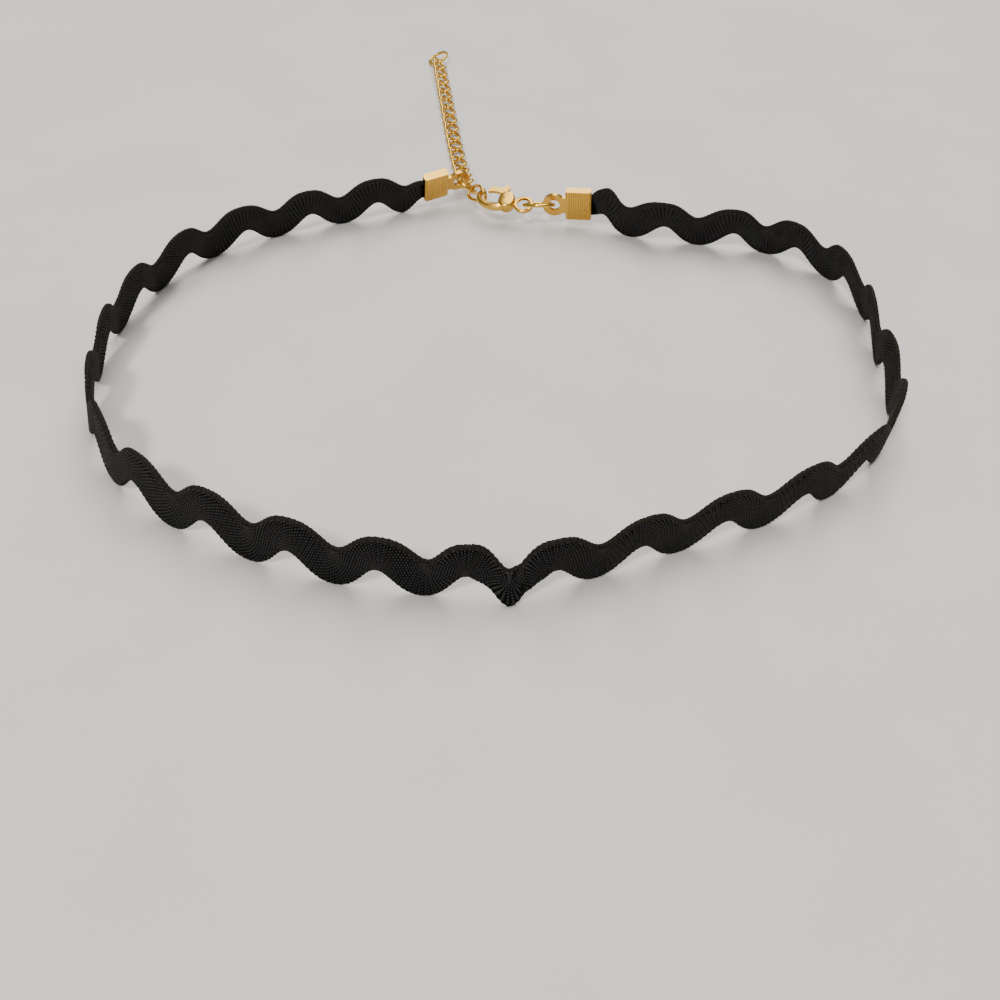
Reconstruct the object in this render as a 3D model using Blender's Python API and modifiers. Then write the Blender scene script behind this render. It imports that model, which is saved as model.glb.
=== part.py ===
"""Wavy braid choker with ribbed metal ends, a sprung hook clasp and an extender chain.

Metres, +Z up. The choker stands on the lower edge of its band at Z = 0, as a closed loop.
The pointed wave at the front faces -Y and the free end of the chain lies towards +Y. Places in
the code are measured from the middle of the loop; at the end every piece moves alike, so that
the origin is the middle of the whole part's box, on the floor.
"""
import math

import bmesh
import bpy
import numpy as np
from mathutils import Matrix, Vector

MM = 0.001
CLEARANCE = 0.3 * MM

# Loop of the band, seen from above
LOOP_HALF_WIDTH = 56.0 * MM
LOOP_HALF_DEPTH = 46.0 * MM

# Band: a flat braid woven in waves
BAND_THICKNESS = 0.95 * MM
BAND_HEIGHT = 9.4 * MM
BAND_CREST_DEPTH = 5.65 * MM
BAND_EDGE_ROUND = 0.28 * MM
TROUGH_TOP_SHARE = 0.69
EDGE_FULLNESS = 0.26 * MM
WAVES_LEFT = 13.4
WAVES_RIGHT = 12.62
STEPS_PER_WAVE = 12
ROWS_ACROSS = 2
POINT_SQUEEZE_LEFT = 0.3
POINT_SQUEEZE_RIGHT = 0.12
SQUEEZE_WAVES = 1.6
POINT_REACH = 0.42
POINT_SWELL = 1.15 * MM
POINT_KICK = 1.9 * MM
POINT_DROP = 1.3 * MM
KICK_REACH = 0.5
KICK_HEIGHT_SHARE = 0.6
FOLD_LAP = 0.45 * MM
FOLD_AT_MIDDLE = 0.07
FOLD_SLANT = 0.11
FOLD_RISE = 0.1
FOLD_FADE = 0.6
CRIMPED_LENGTH = 3.2 * MM
STRAIGHT_LENGTH = 1.23 * MM
WORN_FLAT = 0.06 * MM

# Metal ribbon ends
CRIMP_LENGTH = 4.2 * MM
CRIMP_HEIGHT = 5.1 * MM
CRIMP_THICKNESS = 1.5 * MM
CRIMP_WALL = 0.25 * MM
RIB_COUNT = 10
RIB_DEPTH = 0.08 * MM
RIB_MARGIN = 0.25 * MM
LUG_RADIUS = 1.95 * MM
LUG_HOLE_RADIUS = 0.95 * MM
LUG_THICKNESS = 0.6 * MM
LUG_REACH = 1.85 * MM
LUG_NECK_WIDTH = 2.8 * MM
LUG_SETBACK = 0.35 * MM
PINCHED_THICKNESS = CRIMP_THICKNESS - 2 * CRIMP_WALL - 2 * CLEARANCE
PINCH_LENGTH = 1.4 * MM
LEFT_HOLD_LENGTH = 3.6 * MM
RIGHT_HOLD_LENGTH = 4.8 * MM
SHOULDER_HEIGHT = 0.6 * MM
SHOULDER_LENGTH = 0.9 * MM
LEFT_CRIMP_TURN = math.radians(27.0)
LEFT_CRIMP_LEAN = math.radians(20.0)
LEFT_CRIMP_RISE = math.radians(6.0)
RIGHT_CRIMP_TURN = math.radians(-7.0)
RIGHT_CRIMP_LEAN = math.radians(5.0)
RIGHT_CRIMP_RISE = math.radians(3.5)

# Jump rings and chain
RING_WIRE_RADIUS = 0.3 * MM
LEFT_RING_RADIUS = 2.1 * MM
RIGHT_RING_RADIUS = 2.5 * MM
END_RING_RADIUS = 2.0 * MM
LINK_LENGTH = 5.0 * MM
LINK_WIDTH = 3.0 * MM
LINK_WIRE_RADIUS = 0.3 * MM
LINK_TWIST = math.radians(42.0)
TAIL_LINKS = 16
LINK_PITCH = LINK_LENGTH - 4.0 * LINK_WIRE_RADIUS - CLEARANCE
RIGHT_RING_TILT = math.radians(-24.5)
RIGHT_RING_RISE = math.radians(2.5)
LEFT_RING_TILT = math.radians(41.0)
END_RING_TILT = math.radians(25.0)
TAIL_START_ROLL = math.radians(-6.0)
TAIL_END_ROLL = math.radians(21.0)
ROLLING_LINKS = 7
GRIP_ANGLE = math.radians(5.0)
GRIP_OFFSET = 0.4 * MM
CLOSING_HEADING = Vector((-0.63, 0.74, -0.25))
CLOSING_HOLD = math.radians(-85.0)
TAIL_HOLD = math.radians(60.0)

# Clasp, in its own flat frame: U from its eye to its nose, V towards the lever
CLASP_EYE = Vector((3.6, 34.9, 4.0)) * MM
CLASP_HEADING = Vector((-0.955, 0.29, -0.01))
CLASP_TILT = math.radians(22.0)
CLASP_LENGTH = 9.9 * MM
CLASP_WIDTH = 4.4 * MM
HOOK_HALF_LENGTH = 2.5 * MM
HOOK_CENTRE_V = 0.3 * MM
EYE_RADIUS = 1.65 * MM
EYE_HOLE_RADIUS = 1.15 * MM
EYE_THICKNESS = 0.6 * MM
ROOT_THICKNESS = 1.9 * MM
ROOT_WIDTH = 3.3 * MM
HOOK_ROOT_RADIUS = 0.75 * MM
HOOK_NOSE_RADIUS = 0.5 * MM
HOOK_START = math.radians(-152.0)
HOOK_END = math.radians(44.0)
ROOT_STRETCH = 0.85
ROOT_SETBACK = 0.15 * MM
ROOT_EDGE_ROUND = 0.4 * MM
EYE_EDGE_ROUND = 0.2 * MM
NECK_RADIUS = 0.62 * MM
NECK_STRETCH = 1.6
RIVET_ALONG_SHARE = 0.88
RIVET_ACROSS_SHARE = 0.44
RIVET_HEAD_PROUD = 0.05 * MM
LEVER_THICKNESS = 0.6 * MM
LEVER_HALF_WIDTH = 0.45 * MM
LEVER_TIP_SLANT = math.radians(10.5)
LEVER_TIP_GAP = 0.32 * MM
LEVER_ROOT_RADIUS = 0.86 * MM
PIN_RADIUS = 0.26 * MM
THUMB_HEIGHT = 1.05 * MM
THUMB_ANGLE = math.radians(121.0)
LEVER_ROOT_ANGLE = math.radians(132.0)
LEVER_INNER_ANGLE = math.radians(112.0)
LEVER_ROOT_ARC = (math.radians(100.0), math.radians(385.0))

# Plan of the loop: X and Y as shares of the half width and the half depth, then the lean of the
# band in degrees, its upper edge inwards. The left rows run from the left end to the front, and
# the right rows run on from the front to the right end.
LEFT_ROWS = (
    (-0.671, 0.634, 22.0),
    (-0.827, 0.486, 20.0),
    (-0.932, 0.272, 18.0),
    (-0.984, 0.020, 15.0),
    (-0.976, -0.220, 12.0),
    (-0.932, -0.445, 9.0),
    (-0.828, -0.642, 5.5),
    (-0.484, -0.906, 1.0),
    (-0.138, -1.000, -3.5),
)
FRONT_ROW = (0.038, -0.990, -6.0)
RIGHT_ROWS = (
    (0.398, -0.828, -9.0),
    (0.727, -0.630, -8.0),
    (0.860, -0.487, -7.0),
    (0.947, -0.289, 1.0),
    (0.972, -0.030, 12.0),
    (0.986, 0.243, 18.0),
    (0.924, 0.474, 21.0),
    (0.773, 0.622, 22.0),
    (0.582, 0.668, 21.0),
    (0.391, 0.708, 19.0),
)

# How far the braid's edges run ahead of the even waves where it bends: a wave count from the
# point, left negative, then the lead there as a share of a wave
UPPER_LEADS = ((-11.0, 0.12), (-9.5, 0.0), (-8.3, -0.08), (-1.0, -0.08), (-0.4, 0.0), (4.5, 0.0),
               (5.5, 0.12), (7.5, 0.12), (8.5, 0.0), (9.5, -0.06), (12.5, -0.06))
LOWER_LEADS = ((-10.0, 0.18), (-8.0, 0.14), (-5.5, 0.14), (-3.0, 0.0), (2.0, 0.0), (3.0, -0.04),
               (4.0, -0.04), (5.0, 0.0))

# Free end of the chain, as steps from the left ring in X and Y, and the share of its height
# above the floor that is left there
TAIL_ROUTE = (
    (-0.6 * MM, 4.2 * MM, 0.55),
    (-1.3 * MM, 8.6 * MM, 0.15),
    (-2.0 * MM, 13.0 * MM, 0.0),
    (-2.7 * MM, 17.3 * MM, 0.0),
    (-4.5 * MM, 29.9 * MM, 0.0),
    (-6.4 * MM, 43.4 * MM, 0.0),
    (-8.2 * MM, 56.4 * MM, 0.0),
    (-9.1 * MM, 64.0 * MM, 0.0),
)


def start_scene():
    """Empty the scene and make the part's collection."""
    for obj in list(bpy.data.objects):
        bpy.data.objects.remove(obj, do_unlink=True)
    part = bpy.data.collections.new("wavy_braid_choker")
    bpy.context.scene.collection.children.link(part)
    return part


PART = start_scene()


def principled(name, colour, roughness, metallic):
    """Return a Principled material with one plain colour."""
    material = bpy.data.materials.new(name)
    material.use_nodes = True
    shader = material.node_tree.nodes["Principled BSDF"]
    shader.inputs["Base Color"].default_value = (*colour, 1.0)
    shader.inputs["Roughness"].default_value = roughness
    shader.inputs["Metallic"].default_value = metallic
    return material


BRAID = principled("black_braid", (0.008, 0.007, 0.008), 0.8, 0.0)
GOLD = principled("gold_plated_metal", (0.72, 0.47, 0.16), 0.25, 1.0)
GOLD_SPRUNG = principled("gold_plated_lever", (0.75, 0.50, 0.18), 0.22, 1.0)


def place(obj, material, frame=None):
    """Link an object to the part with its material and its place."""
    if frame is not None:
        obj.matrix_world = frame
    obj.data.materials.clear()
    obj.data.materials.append(material)
    PART.objects.link(obj)
    return obj


def mesh_object(name, shape):
    """Turn a bmesh into a smooth-shaded mesh object that isn't linked yet."""
    bmesh.ops.recalc_face_normals(shape, faces=shape.faces)
    mesh = bpy.data.meshes.new(name)
    shape.to_mesh(mesh)
    shape.free()
    mesh.shade_smooth()
    mesh.set_sharp_from_angle(angle=math.radians(40.0))
    return bpy.data.objects.new(name, mesh)


def frame_of(origin, x_axis, z_hint):
    """Return the frame at an origin with X along x_axis and Z nearest to z_hint."""
    x = Vector(x_axis).normalized()
    y = Vector(z_hint).cross(x).normalized()
    z = x.cross(y)
    frame = Matrix((x, y, z)).transposed().to_4x4()
    frame.translation = origin
    return frame


def poly_wire(name, points, radius, sides_level, cyclic, radii=None):
    """Return a round wire through points as an unlinked curve object."""
    curve = bpy.data.curves.new(name, "CURVE")
    curve.dimensions = "3D"
    curve.bevel_depth = radius
    curve.bevel_resolution = sides_level
    curve.use_fill_caps = not cyclic
    spline = curve.splines.new("POLY")
    spline.points.add(len(points) - 1)
    for index, point in enumerate(points):
        spline.points[index].co = (*point, 1.0)
        if radii is not None:
            spline.points[index].radius = radii[index] / radius
    spline.use_cyclic_u = cyclic
    spline.use_smooth = True
    return bpy.data.objects.new(name, curve)


def wire_mesh(name, points, radius, sides_level, radii):
    """Return an open round wire as a closed bmesh, its caps welded on."""
    wire = poly_wire(name, points, radius, sides_level, False, radii)
    bpy.context.scene.collection.objects.link(wire)
    bpy.context.view_layer.update()
    evaluated = wire.evaluated_get(bpy.context.evaluated_depsgraph_get())
    mesh = bpy.data.meshes.new_from_object(evaluated)
    shape = bmesh.new()
    shape.from_mesh(mesh)
    bmesh.ops.remove_doubles(shape, verts=shape.verts, dist=0.002 * MM)
    bpy.data.objects.remove(wire, do_unlink=True)
    return mesh_object(name, shape)


def boolean(target, tool, operation):
    """Apply one exact boolean to a mesh object and remove the tool."""
    for obj in (target, tool):
        if obj.name not in bpy.context.scene.collection.objects:
            bpy.context.scene.collection.objects.link(obj)
    modifier = target.modifiers.new(operation, "BOOLEAN")
    modifier.operation = operation
    modifier.object = tool
    bpy.context.view_layer.update()
    evaluated = target.evaluated_get(bpy.context.evaluated_depsgraph_get())
    mesh = bpy.data.meshes.new_from_object(evaluated)
    target.modifiers.clear()
    target.data = mesh
    bpy.data.objects.remove(tool, do_unlink=True)
    return target


def box(name, size, centre):
    """Return a box as an unlinked mesh object."""
    shape = bmesh.new()
    bmesh.ops.create_cube(shape, size=1.0)
    bmesh.ops.scale(shape, vec=size, verts=shape.verts)
    bmesh.ops.translate(shape, vec=centre, verts=shape.verts)
    return mesh_object(name, shape)


def disc(name, radius, depth, centre, segments=24, stretch=1.0, edge=0.0):
    """Return a disc about Z, stretched along X, with its rims rounded by edge."""
    shape = bmesh.new()
    bmesh.ops.create_cone(shape, cap_ends=True, segments=segments, radius1=radius,
                          radius2=radius, depth=depth)
    bmesh.ops.scale(shape, vec=(stretch, 1.0, 1.0), verts=shape.verts)
    if edge > 0.0:
        rims = [e for e in shape.edges if abs(e.verts[0].co.z - e.verts[1].co.z) < depth * 0.01]
        bmesh.ops.bevel(shape, geom=rims, offset=edge, segments=2, profile=0.5,
                        affect="EDGES")
    bmesh.ops.translate(shape, vec=centre, verts=shape.verts)
    return mesh_object(name, shape)


def smooth_path(points, lengths):
    """Return a smooth curve through points, and the arc length at each of its samples.

    The first so many columns, given by lengths, are places. The others ride along.
    """
    points = np.array(points)
    spans = np.linalg.norm(np.diff(points[:, :lengths], axis=0), axis=1)[:, None]
    slopes = np.diff(points, axis=0) / spans
    inner = (slopes[:-1] * spans[1:] + slopes[1:] * spans[:-1]) / (spans[:-1] + spans[1:])
    tangents = np.vstack((slopes[:1], inner, slopes[-1:]))
    t = np.linspace(0.0, 1.0, 25)[:-1, None]
    curve = []
    for k, span in enumerate(spans):
        curve.append((2 * t ** 3 - 3 * t ** 2 + 1) * points[k]
                     + (t ** 3 - 2 * t ** 2 + t) * span * tangents[k]
                     + (3 * t ** 2 - 2 * t ** 3) * points[k + 1]
                     + (t ** 3 - t ** 2) * span * tangents[k + 1])
    curve = np.vstack((*curve, points[-1:]))
    steps = np.linalg.norm(np.diff(curve[:, :lengths], axis=0), axis=1)
    return curve, np.concatenate(([0.0], np.cumsum(steps)))


def smooth_step(x):
    """Ease from 0 to 1 over 0 to 1."""
    x = min(1.0, max(0.0, x))
    return x * x * (3.0 - 2.0 * x)


def clasp_frame():
    """Return the clasp's frame: X to its nose, Y to its lever."""
    u = CLASP_HEADING.normalized()
    level = Vector((0.0, 0.0, 1.0)).cross(-u).normalized()
    v = level * math.cos(CLASP_TILT) + Vector((0.0, 0.0, math.sin(CLASP_TILT)))
    w = u.cross(v).normalized()
    return frame_of(CLASP_EYE, u, w)


HOOK_CENTRE_U = CLASP_LENGTH - EYE_RADIUS - HOOK_NOSE_RADIUS - HOOK_HALF_LENGTH
HOOK_HALF_WIDTH = CLASP_WIDTH / 2 - HOOK_NOSE_RADIUS
PIVOT = Vector((HOOK_CENTRE_U - HOOK_HALF_LENGTH * RIVET_ALONG_SHARE,
                HOOK_CENTRE_V + HOOK_HALF_WIDTH * RIVET_ACROSS_SHARE, 0.0))


def hook_point(angle, out=0.0):
    """Return the point of the clasp's oval centre line at an angle, moved outwards by out."""
    normal = Vector((math.cos(angle) / HOOK_HALF_LENGTH, math.sin(angle) / HOOK_HALF_WIDTH, 0.0))
    point = Vector((HOOK_CENTRE_U + HOOK_HALF_LENGTH * math.cos(angle),
                    HOOK_CENTRE_V + HOOK_HALF_WIDTH * math.sin(angle), 0.0))
    return point + normal.normalized() * out


def clasp_body():
    """Model the clasp's eye, slotted root and tapered hook as one piece with the rivet."""
    body = disc("clasp_body", ROOT_WIDTH / 2, ROOT_THICKNESS, (PIVOT.x - ROOT_SETBACK, 0, 0),
                28, ROOT_STRETCH, ROOT_EDGE_ROUND)
    eye = disc("eye", EYE_RADIUS, EYE_THICKNESS, (0, 0, 0), 24, 1.0, EYE_EDGE_ROUND)
    neck = disc("neck", NECK_RADIUS, EYE_THICKNESS, (EYE_RADIUS, 0, 0), 16, NECK_STRETCH)
    angles = np.linspace(HOOK_START, HOOK_END, 17)
    radii = []
    for angle in angles:
        share = smooth_step((angle - HOOK_START) / (0.0 - HOOK_START))
        radii.append(HOOK_ROOT_RADIUS + (HOOK_NOSE_RADIUS - HOOK_ROOT_RADIUS) * share)
    hook = wire_mesh("hook", [hook_point(a) for a in angles], HOOK_NOSE_RADIUS, 2, radii)
    body = boolean(body, neck, "UNION")
    body = boolean(body, eye, "UNION")
    body = boolean(body, hook, "UNION")
    hole = disc("eye_hole", EYE_HOLE_RADIUS, 4 * EYE_THICKNESS, (0, 0, 0), 20)
    body = boolean(body, hole, "DIFFERENCE")
    slot_height = LEVER_THICKNESS + 2 * CLEARANCE
    reach = LEVER_ROOT_RADIUS + CLEARANCE
    slot = disc("slot", reach, slot_height, PIVOT, 24)
    body = boolean(body, slot, "DIFFERENCE")
    mouth = box("mouth", (3.2 * reach, 2.4 * reach, slot_height),
                PIVOT + Vector((1.6 * reach, 1.2 * reach - 0.55 * LEVER_ROOT_RADIUS, 0)))
    body = boolean(body, mouth, "DIFFERENCE")
    top = box("top", (2.4 * reach, 2 * reach, slot_height), PIVOT + Vector((0, 1.1 * reach, 0)))
    body = boolean(body, top, "DIFFERENCE")
    rivet = disc("rivet", PIN_RADIUS, ROOT_THICKNESS + 2 * RIVET_HEAD_PROUD, PIVOT, 12)
    body = boolean(body, rivet, "UNION")
    bpy.context.scene.collection.objects.unlink(body)
    return place(body, GOLD, clasp_frame())


def clasp_lever():
    """Model the flat lever: a root with the rivet's hole, an arm along the oval and a thumb tab."""
    tip = HOOK_END + LEVER_TIP_GAP / HOOK_HALF_WIDTH
    outline = []
    for angle in np.linspace(tip + LEVER_TIP_SLANT, LEVER_ROOT_ANGLE, 24):
        aside = (angle - THUMB_ANGLE) / (LEVER_ROOT_ANGLE - THUMB_ANGLE)
        swell = THUMB_HEIGHT * max(0.0, 1.0 - aside ** 2) ** 0.5
        outline.append(hook_point(angle, LEVER_HALF_WIDTH + swell))
    for angle in np.linspace(*LEVER_ROOT_ARC, 16):
        outline.append(PIVOT + LEVER_ROOT_RADIUS * Vector((math.cos(angle), math.sin(angle), 0)))
    for angle in np.linspace(LEVER_INNER_ANGLE, tip, 12):
        outline.append(hook_point(angle, -LEVER_HALF_WIDTH))
    hole = [PIVOT + (PIN_RADIUS + CLEARANCE) * Vector((math.cos(a), math.sin(a), 0))
            for a in np.linspace(0.0, 2 * math.pi, 17)[:-1]]
    curve = bpy.data.curves.new("clasp_lever", "CURVE")
    curve.dimensions = "2D"
    curve.fill_mode = "BOTH"
    curve.extrude = LEVER_THICKNESS / 2
    for ring in (outline, hole):
        spline = curve.splines.new("POLY")
        spline.points.add(len(ring) - 1)
        for index, point in enumerate(ring):
            spline.points[index].co = (*(point - PIVOT), 1.0)
        spline.use_cyclic_u = True
    lever = bpy.data.objects.new("clasp_lever", curve)
    frame = clasp_frame()
    frame.translation = frame @ PIVOT
    return place(lever, GOLD_SPRUNG, frame)


def jump_ring(name, radius, frame):
    """Make a round ring of wire in the XY plane of a frame."""
    points = [radius * Vector((math.cos(a), math.sin(a), 0))
              for a in np.linspace(0.0, 2 * math.pi, 25)[:-1]]
    return place(poly_wire(name, points, RING_WIRE_RADIUS, 1, True), GOLD, frame)


def link_outline():
    """Return the centre line of one twisted oval link about its own X axis."""
    bend = LINK_WIDTH / 2 - LINK_WIRE_RADIUS
    straight = (LINK_LENGTH - LINK_WIDTH) / 2
    flat = []
    for side in (1, -1):
        for angle in np.linspace(-math.pi / 2, math.pi / 2, 7):
            flat.append((side * (straight + bend * math.cos(angle)), side * bend * math.sin(angle)))
        flat.append((0.0, side * bend))
    points = []
    for x, y in flat:
        turn = LINK_TWIST * x / (LINK_LENGTH / 2)
        points.append(Vector((x, y * math.cos(turn), y * math.sin(turn))))
    return points


LINK_SHAPE = poly_wire("link", link_outline(), LINK_WIRE_RADIUS, 1, True).data


def chain_link(name, centre, heading, width_hint, turn):
    """Place one link with its long axis along heading, turned about it from width_hint.

    A link that would reach below the floor lies on it.
    """
    obj = bpy.data.objects.new(name, LINK_SHAPE.copy())
    normal = Vector(heading).cross(width_hint)
    frame = frame_of(centre, heading, normal) @ Matrix.Rotation(turn, 4, "X")
    lowest = min((frame @ point).z for point in link_outline()) - LINK_WIRE_RADIUS
    frame.translation.z += max(0.0, -lowest)
    return place(obj, GOLD, frame)


def crimp(name, lug_hole, turn, lean, rise, side):
    """Make one ribbed end. Side is 1 where the band lies towards the end's own -X."""
    level = Vector((math.cos(turn), math.sin(turn), 0.0))
    inward = Vector((math.sin(turn), -math.cos(turn), 0.0))
    up = Vector((0.0, 0.0, math.cos(lean))) + inward * math.sin(lean)
    along = level * math.cos(rise) + up * math.sin(rise)
    frame = frame_of(lug_hole, along * side, up)
    setback = LUG_SETBACK * side
    centre = Vector((-LUG_REACH - CRIMP_LENGTH / 2, setback, 0.0))
    pitch = (CRIMP_LENGTH - 2 * RIB_MARGIN) / RIB_COUNT
    half = CRIMP_THICKNESS / 2
    face = []
    for rib in range(RIB_COUNT):
        left = -pitch * RIB_COUNT / 2 + rib * pitch
        face.append((left, half - RIB_DEPTH))
        face.append((left + 0.25 * pitch, half))
        face.append((left + 0.75 * pitch, half))
    face.append((pitch * RIB_COUNT / 2, half - RIB_DEPTH))
    corner = (CRIMP_LENGTH / 2, half - 3 * RIB_DEPTH)
    outline = [*face, corner, (corner[0], -corner[1]), *((x, -y) for x, y in reversed(face)),
               (-corner[0], -corner[1]), (-corner[0], corner[1])]
    shape = bmesh.new()
    loop = [shape.verts.new((x, y, -CRIMP_HEIGHT / 2)) for x, y in outline]
    base = shape.faces.new(loop)
    raised = bmesh.ops.extrude_face_region(shape, geom=[base])
    top = [g for g in raised["geom"] if isinstance(g, bmesh.types.BMVert)]
    bmesh.ops.translate(shape, vec=(0, 0, CRIMP_HEIGHT), verts=top)
    bmesh.ops.translate(shape, vec=centre, verts=shape.verts)
    body = mesh_object(name, shape)
    lug = disc("lug", LUG_RADIUS, LUG_THICKNESS, (0, 0, 0), 24)
    arm = box("arm", (LUG_REACH + CRIMP_WALL, LUG_NECK_WIDTH, LUG_THICKNESS),
              (-(LUG_REACH + CRIMP_WALL) / 2, 0, 0))
    for piece in (lug, arm):
        piece.data.transform(Matrix.Rotation(math.pi / 2, 4, "X"))
        body = boolean(body, piece, "UNION")
    hole = disc("lug_hole", LUG_HOLE_RADIUS, 4 * LUG_THICKNESS, (0, 0, 0), 20)
    hole.data.transform(Matrix.Rotation(math.pi / 2, 4, "X"))
    body = boolean(body, hole, "DIFFERENCE")
    pocket_depth = CRIMPED_LENGTH + 2 * CLEARANCE
    pocket = box("pocket", (2 * pocket_depth, CRIMP_THICKNESS - 2 * CRIMP_WALL,
                            CRIMP_HEIGHT - 2 * CRIMP_WALL),
                 (-LUG_REACH - CRIMP_LENGTH, setback, 0))
    body = boolean(body, pocket, "DIFFERENCE")
    bpy.context.scene.collection.objects.unlink(body)
    place(body, GOLD, frame)
    foot = frame @ Vector((-LUG_REACH - CRIMP_LENGTH, setback, 0.0))
    middle = foot.z / math.cos(lean)
    return {"foot": np.array(foot - up * middle), "along": np.array(level), "lean": lean,
            "middle": middle, "slope": side * math.tan(rise)}


def band_path(left, right):
    """Return the band's foot line and lean, left to right, and where the ends and front lie."""
    rows = [np.array((x * LOOP_HALF_WIDTH, y * LOOP_HALF_DEPTH, math.radians(lean)))
            for x, y, lean in (*LEFT_ROWS, FRONT_ROW, *RIGHT_ROWS)]
    ends = []
    for end, side in ((left, 1.0), (right, -1.0)):
        at_mouth = np.array((*end["foot"][:2], end["lean"]))
        inside = at_mouth + np.array((*(side * end["along"][:2] * CRIMPED_LENGTH), 0.0))
        outside = at_mouth - np.array((*(side * end["along"][:2] * STRAIGHT_LENGTH), 0.0))
        ends.append([inside, at_mouth, outside])
    path, arcs = smooth_path([*ends[0], *rows, *reversed(ends[1])], 2)
    marks = [ends[0][1], rows[len(LEFT_ROWS)], ends[1][1]]
    stops = [arcs[np.argmin(np.linalg.norm(path[:, :2] - mark[:2], axis=1))] for mark in marks]
    return path, arcs, stops


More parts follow.
